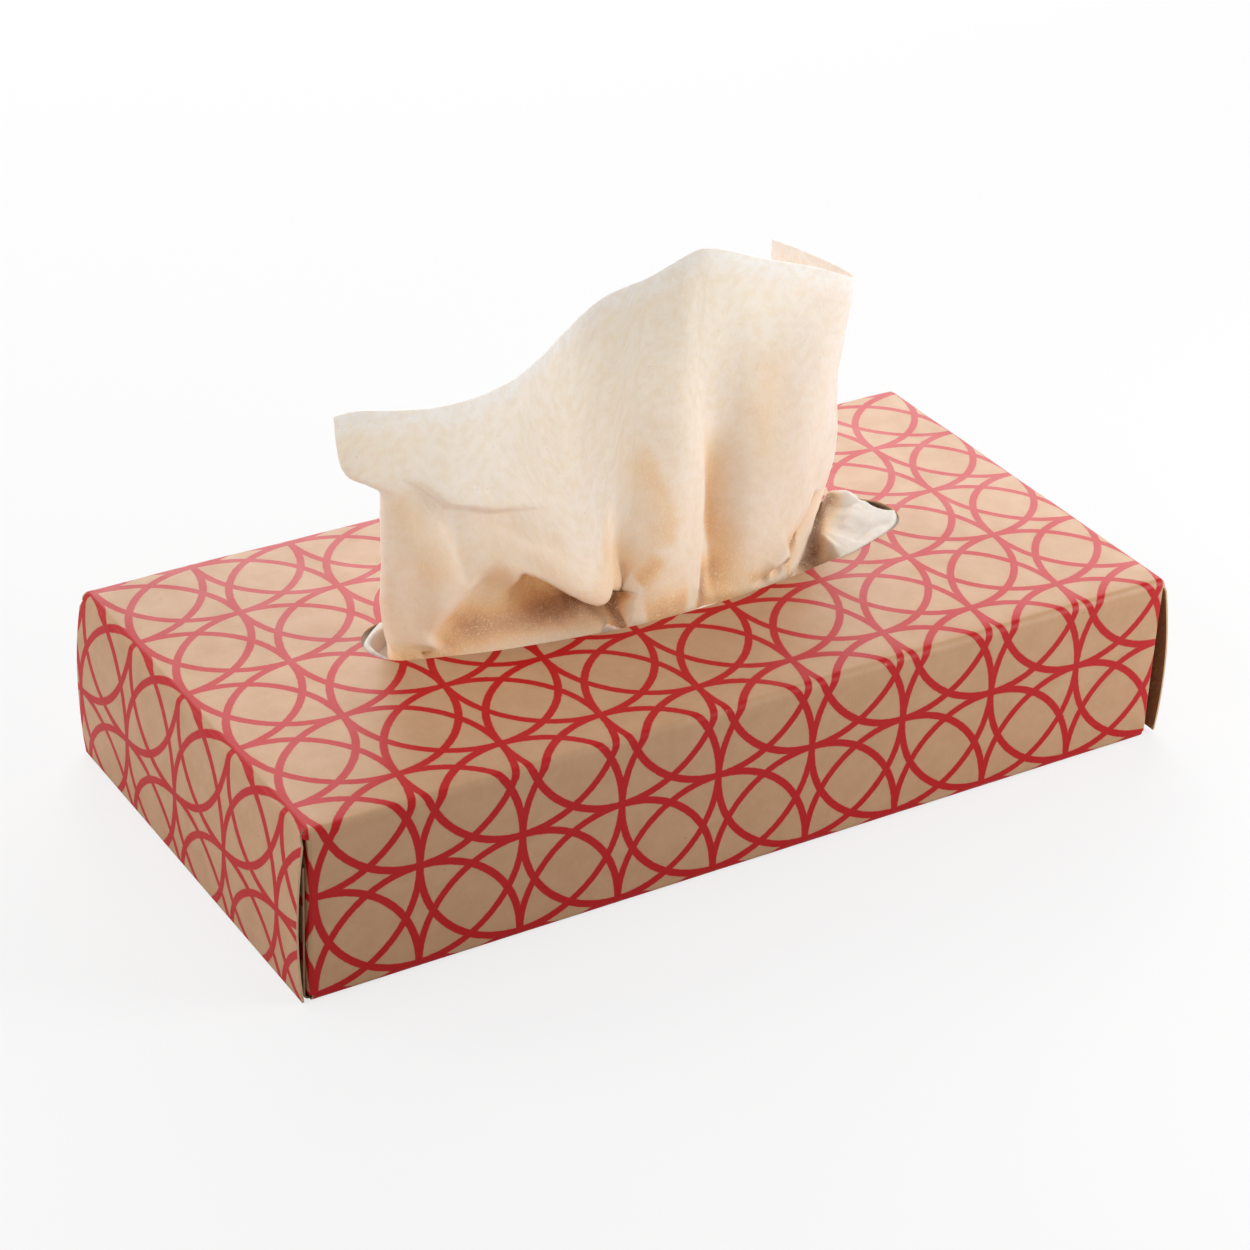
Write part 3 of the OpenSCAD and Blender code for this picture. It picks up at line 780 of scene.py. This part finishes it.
pulled = {
    "lines": pulledLines,
    "across": 320, "up": 144, "shift": carton["slotShift"], "top": carton["height"], "tuck": 42.73,
    "crumples": ((0.55, 17.0, 3.0), (0.28, 7.0, 9.0), (0.1, 2.6, 4.0)),     # depth, size and seed
    "mottle": ((0.25, 7.0, 11.0), (0.08, 2.5, 12.0)),                       # share, size and seed
    "clouds": (0.16, 30.0, 21.0),                                           # the same
    "smoothFoot": 6,            # height over which the crumples come in
    "creaseFoot": (0.8, 3.0),   # height that the creases start at, and over which they come in
    "behind": 0.4,              # share of its painted shade that shows on its back
    "foot": (0.3, 24),          # how much deeper its tone is at the foot, painted shade where less light comes through, and how far up that fades
    "hem": (0.7, 7, 6),         # how much paler it is at the hem, painted light through its single layer, the hem's width and its soft part
    "freeEdge": (0.9, 25, 8),   # the same painted light for its free edge behind on the right
    "freeEdgeFoot": (18, 6),    # height that this starts at, and over which it comes in
    # creases in the sheet's own flat coordinates: (across, up) from the right free edge's foot,
    # the push at the crease, its width above and below, and the share of its length that fades
    "creases": [
        {"path": chestCrease, "push": (-0.3, -1.7, 0), "above": 8, "below": 0.7, "fade": (0.4, 0.25)},
        {"path": chestCrease, "push": (0, 1.0, 0), "above": 0.7, "below": 9, "fade": (0.4, 0.25)},
        {"path": [(118, 28.5), (122, 29.7), (127, 30.4), (139, 35.2)],
         "push": (0, 1.0, 0), "above": 4, "below": 1.0, "fade": (0.2, 0.5)},
        # the lower edge of the drape on the left, and the hollow beneath it
        {"path": drapeEdge, "push": (0, -1.6, -0.5), "above": 6, "below": 0.5, "fade": (0.05, 0.5)},
        {"path": drapeEdge, "push": (0, 9.5, 0), "above": 0.5, "below": 9.0, "fade": (0.1, 0.25)},
        {"path": [(96, 8.8), (103.5, 12.6)],
         "push": (2.6, -0.8, -1.1), "above": 6, "below": 0.6, "fade": (0.3, 0.3)},
        {"path": hollowEdge, "push": (0, 3.4, 0), "above": 4, "below": 8, "fade": (0.3, 0.1)},
        # the left lobe and its soft crease
        {"path": [(151, 4), (150, 15), (151, 27), (150, 36)],
         "push": (-0.8, -2.2, 0), "above": 6, "below": 6, "fade": (0.1, 0.3)},
        {"path": [(150, 38), (145.5, 30), (144, 23.8), (141, 18)],
         "push": (0, 0.9, 0), "above": 1.2, "below": 3, "fade": (0.3, 0.3)},
        {"path": [(151.2, 0.3), (151, 4.5)],
         "push": (0, 2.5, 0), "above": 1.3, "below": 1.3, "fade": (0.0, 0.3)},
        # the slit where the left and the middle folds part
        {"path": [(94, 0.3), (93.6, 5), (92.8, 10)],
         "push": (0, 6.5, 0), "above": 0.5, "below": 3.2, "fade": (0.0, 0.2)},
        # the tall ridge in the middle and the hollow on its right
        {"path": [(74, 2), (73, 8), (71.5, 17.5), (71, 28), (71.5, 38), (73, 50)],
         "push": (0, -1.1, 0), "above": 1.8, "below": 5.0, "fade": (0.1, 0.6)},
        {"path": [(65.5, 1), (65.5, 9), (66, 17.5), (67, 28), (68, 42)],
         "push": (0, 2.0, 0), "above": 4, "below": 2, "fade": (0.1, 0.5)},
        # soft folds in the right lobe, its lower right edge, and the crumples at its foot
        {"path": lobeEdge, "push": (-2.2, 3.6, 0), "above": 0.5, "below": 9, "fade": (0.25, 0.1)},
        {"path": [(47, 18), (45, 42), (44, 70)],
         "push": (0, -1.3, 0), "above": 7, "below": 7, "fade": (0.3, 0.3)},
        {"path": [(34, 14), (35, 40), (34, 66)],
         "push": (0, 0.7, 0), "above": 4, "below": 5, "fade": (0.3, 0.3)},
        {"path": [(54, 2), (51, 6), (45, 8), (39, 6)],
         "push": (0, -2.0, 0.6), "above": 1.2, "below": 2.2, "fade": (0.2, 0.2)},
        {"path": [(58, 1), (52, 4.5), (44, 5)],
         "push": (0, 1.6, 0), "above": 1.4, "below": 1.2, "fade": (0.2, 0.3)},
    ],
    # painted shade where the sheet turns into a hollow, fold or slit, and painted deeper tone where it is
    # doubled and lets less light through: path, strength, its width above and below, and the share of its
    # length that fades
    "paintedShades": [
        # the hollow under the drape, its left end and the slit
        ([(95, 6), (103, 10.6), (109, 13.8), (115, 16.8), (121, 19.6), (126, 21.4), (131.4, 22.8)],
         0.75, 0.4, 8, (0.15, 0.1)),
        ([(97, 3), (108, 6.5), (118, 8), (128, 8), (138, 7.5), (146, 7), (151, 5)], 0.95, 5, 4.5, (0.1, 0.2)),
        (hollowEdge, 0.3, 3.5, 6, (0.1, 0.3)),
        ([(94, 0), (93.6, 5), (92.8, 9)], 2.0, 0.4, 3.2, (0.0, 0.1)),
        ([(163, 2.5), (152, 3), (140, 2.5)], 0.7, 2.5, 2.5, (0.1, 0.2)),
        # the middle folds
        ([(92, 47), (89, 38), (86.5, 31), (84, 24), (84.5, 17)], 0.5, 5.5, 1.8, (0.3, 0.1)),
        ([(92, 11.5), (89, 14), (85.5, 17)], 0.8, 2.6, 2.6, (0.1, 0.3)),
        ([(108, 27), (104, 21), (99, 16), (94, 12)], 0.5, 7, 6, (0.2, 0.1)),
        ([(90, 3), (85, 4), (78, 4)], 0.9, 4, 4, (0.1, 0.2)),
        # the valley left of the right lobe
        ([(70, 47), (69.6, 38), (69, 28), (68, 20), (64.8, 13), (64.3, 0)], 0.7, 1.2, 5, (0.35, 0.0)),
        ([(67.5, 14), (69, 8), (70.5, 0)], 1.3, 2.2, 3.4, (0.4, 0.0)),
        # the right lobe, the crumples at its foot and the pocket behind its edge
        ([(55, 66), (55, 44), (54, 22)], 0.3, 5, 5, (0.3, 0.3)),
        ([(60, 4.5), (53, 5), (46, 4)], 0.5, 1.6, 1.6, (0.2, 0.3)),
        (lobeEdge, 1.2, 0.5, 9, (0.2, 0.05)),
        ([(45, 8), (38, 9.5), (28, 9.5)], 1.1, 4, 3.5, (0.1, 0.1)),
        # a paler strip, painted light
        ([(33, 78), (34, 50), (33, 30)], -0.2, 4, 4, (0.1, 0.2)),
        # the left lobe
        ([(161, 46), (156, 36), (151, 27), (147, 19)], 0.35, 5, 5, (0.2, 0.2)),
        ([(141, 38), (130, 31), (112, 28)], 0.15, 8, 6, (0.2, 0.3)),
    ],
}


# the waves that a list of sizes and seeds gives, added up
def waveSum(flat, waves):
    return sum(amount * noiseGrid(flat, size, seed) for amount, size, seed in waves)


def buildPulled(pulled, tissue):
    net = np.array(pulled["lines"], float) + np.array([pulled["shift"], 0, pulled["top"]])
    tuck = net[:, :1].copy()
    tuck[:, :, 2] = pulled["tuck"]
    net = np.concatenate([tuck, net], axis=1)
    grid = smoothLine(net, pulled["across"])
    grid = smoothLine(grid.transpose(1, 0, 2), pulled["up"]).transpose(1, 0, 2)
    flat = gridFlat(grid)
    normal = gridNormals(grid)
    above = (grid[:, :, 2:] - pulled["top"]).clip(0, None)[:, :, 0]
    crumple = waveSum(flat, pulled["crumples"])
    grid = grid + normal * (crumple * (above / pulled["smoothFoot"]).clip(0, 1))[:, :, None]
    start, rise = pulled["creaseFoot"]
    clearOfRim = ease((flat[:, :, 1] - start) / rise)
    for crease in pulled["creases"]:
        share = creaseShare(flat, crease["path"], crease["above"], crease["below"], *crease["fade"])
        grid = grid + (share * clearOfRim)[:, :, None] * np.array(crease["push"])

    # how deep the sheet's painted tone is: over 0 deeper, for painted shade and for doubled sheet that lets
    # less light through; under 0 paler, for painted light through a single layer; random clouds and mottle
    # mixed in
    across, up = flat[:, :, 0], flat[:, :, 1]
    share, size, seed = pulled["clouds"]
    layers = share * (0.5 + noiseGrid(flat, size, seed)).clip(0, 1)
    for path, strength, above, below, fade in pulled["paintedShades"]:
        layers = layers + strength * creaseShare(flat, path, above, below, *fade)
    deeper, reach = pulled["foot"]
    layers = layers + deeper * np.exp(-(up / reach) ** 2)
    layers = layers * (1 + waveSum(flat, pulled["mottle"]))
    paler, width, soft = pulled["hem"]
    layers = layers - paler * ease((width - (up[:, -1:] - up)) / soft)
    paler, width, soft = pulled["freeEdge"]
    start, rise = pulled["freeEdgeFoot"]
    layers = layers - paler * ease((width - across) / soft) * ease((up - start) / rise)
    piece = sheetFromGrid("pulledTissue", grid, layers, tissue["thickness"])
    # the painted shade belongs to the front, and its back shows it fainter
    tones = np.zeros(len(piece.data.vertices), np.float32)
    piece.data.attributes["layers"].data.foreach_get("value", tones)
    tones[:len(tones) // 2] *= pulled["behind"]
    piece.data.attributes["layers"].data.foreach_set("value", tones)
    settle(piece, "tissue", "pulled_tissue")
    return piece


pulledPiece = buildPulled(pulled, tissue)
print("pulled tissue ready:", len(pulledPiece.data.polygons), "faces")


nextLeaf = {
    "across": 330, "up": 140, "length": 161.0, "width": 48.4, "shift": carton["slotShift"], "rest": 41.925,
    "underPanel": 44.9,         # level that it is drawn up to under the top panel, at both ends
    "overPanel": 46.0,          # and inside the opening
    "rim": 0.016,               # share of the oval, from its rim inwards, in which it comes up
    # the ridge that it turns down at on the right, beside the pulled tissue's foot: x at y
    "ridge": ((-20, 49.5), (-13.4, 49.5), (-4, 50.5), (4, 57.5), (8, 61.5), (20, 66)),
    "turnDown": 2.6,            # width of that ridge's slope
    # the curve that it turns down at on the left, as a share of the oval: its place in the middle,
    # its bow behind and in front, its slope's width, and the place and softness of the zone's end
    "leftCurve": {"middle": -0.955, "behind": 0.8, "front": 0.25, "slope": 0.03, "end": -0.72, "soft": 0.08},
    "waves": ((0.35, 9.0, 2.0),),       # depth, size and seed
    "ripples": ((0.1, 3.0, 2.0),),      # the same
    "calmRim": 0.2,             # share of the oval, from its rim inwards, in which the waves come in
    "spread": 1.4,              # how far the following reach, in their half sizes
    "raised": [                 # middle, half size and height of what is drawn up further or sunk
        ((65, 9.5), (5, 3), 2.6),
        ((74, 5.2), (2.8, 4.8), -4.5),
        ((59, -3), (5, 5), -0.6),
    ],
    "creases": [
        {"path": [(61.5, 8), (57.5, 4), (50.5, -4), (49.8, -12)],
         "lift": 0.7, "above": 1.2, "below": 1.2, "fade": (0.0, 0.1)},
        {"path": [(68, 6), (62, 1), (57, -3)], "lift": 0.5, "above": 1.6, "below": 0.8, "fade": (0.2, 0.2)},
        {"path": [(71, -5), (64, -6), (55, -10)], "lift": -0.6, "above": 1.5, "below": 1, "fade": (0.2, 0.2)},
        {"path": [(-72, 0.8), (-70.2, 2.5), (-59.7, 12.4), (-57, 14)],
         "lift": -1.4, "above": 1.4, "below": 0.3, "fade": (0.0, 0.0)},
    ],
    # painted shade in the pocket beside the pulled tissue and at the foot of its slit, and painted shadow in
    # the depth at the far right
    "paintedShades": [
        ([(63, 12), (59.5, 8), (55, 4.5), (48.5, -3), (45, -8), (45, -14)], 2.3, 3.6, 5.5, (0.1, 0.0)),
        ([(-20, -17.5), (-14, -18), (-8, -18)], 1.5, 2.0, 2.0, (0.1, 0.1)),
        ([(67, 14), (72, 10), (74.8, 4), (75, 0)], 2.6, 1.6, 1.8, (0.1, 0.1)),
    ],
}


def buildNext(nextLeaf, tissue):
    x = np.linspace(-0.5, 0.5, nextLeaf["across"]) * nextLeaf["length"] + nextLeaf["shift"]
    y = np.linspace(-0.5, 0.5, nextLeaf["up"]) * nextLeaf["width"]
    flat = np.stack(np.meshgrid(x, y, indexing="ij"), axis=2)
    # place in the oval opening, 1 at its rim both ways
    a = (flat[:, :, 0] - nextLeaf["shift"]) / (carton["slotLength"] / 2)
    b = flat[:, :, 1] / (carton["slotWidth"] / 2)
    inside = 1 - a * a - b * b
    ridge = np.interp(flat[:, :, 1], *zip(*nextLeaf["ridge"]))
    atRight = ease((flat[:, :, 0] - ridge + nextLeaf["turnDown"]) / nextLeaf["turnDown"])
    curve = nextLeaf["leftCurve"]
    bow = np.where(b > 0, curve["behind"], curve["front"]) * b * b
    atLeft = ease((bow + curve["middle"] - a) / curve["slope"]) * ease((curve["end"] - a) / curve["soft"])
    drawnUp = np.maximum(atRight, atLeft)
    under = nextLeaf["underPanel"] - nextLeaf["rest"]
    over = nextLeaf["overPanel"] - nextLeaf["underPanel"]
    z = nextLeaf["rest"] + drawnUp * (under + over * ease(inside / nextLeaf["rim"]))
    waves = waveSum(flat, nextLeaf["waves"]) * ease(inside / nextLeaf["calmRim"])
    z = z + (waves + waveSum(flat, nextLeaf["ripples"]))
    for center, size, height in nextLeaf["raised"]:
        reach = np.hypot((flat[:, :, 0] - center[0]) / size[0], (flat[:, :, 1] - center[1]) / size[1])
        z = z + height * ease(nextLeaf["spread"] - reach)
    for crease in nextLeaf["creases"]:
        share = creaseShare(flat, crease["path"], crease["above"], crease["below"], *crease["fade"])
        z = z + share * crease["lift"]
    grid = np.concatenate([flat, z.clip(nextLeaf["rest"], None)[:, :, None]], axis=2)
    # painted shade, carried in the layers tone
    layers = np.zeros(flat.shape[:2])
    for path, strength, above, below, fade in nextLeaf["paintedShades"]:
        layers = layers + strength * creaseShare(flat, path, above, below, *fade)
    piece = sheetFromGrid("nextTissue", grid, layers, tissue["thickness"])
    settle(piece, "tissue", "next_tissue")


buildNext(nextLeaf, tissue)
print("next tissue ready")
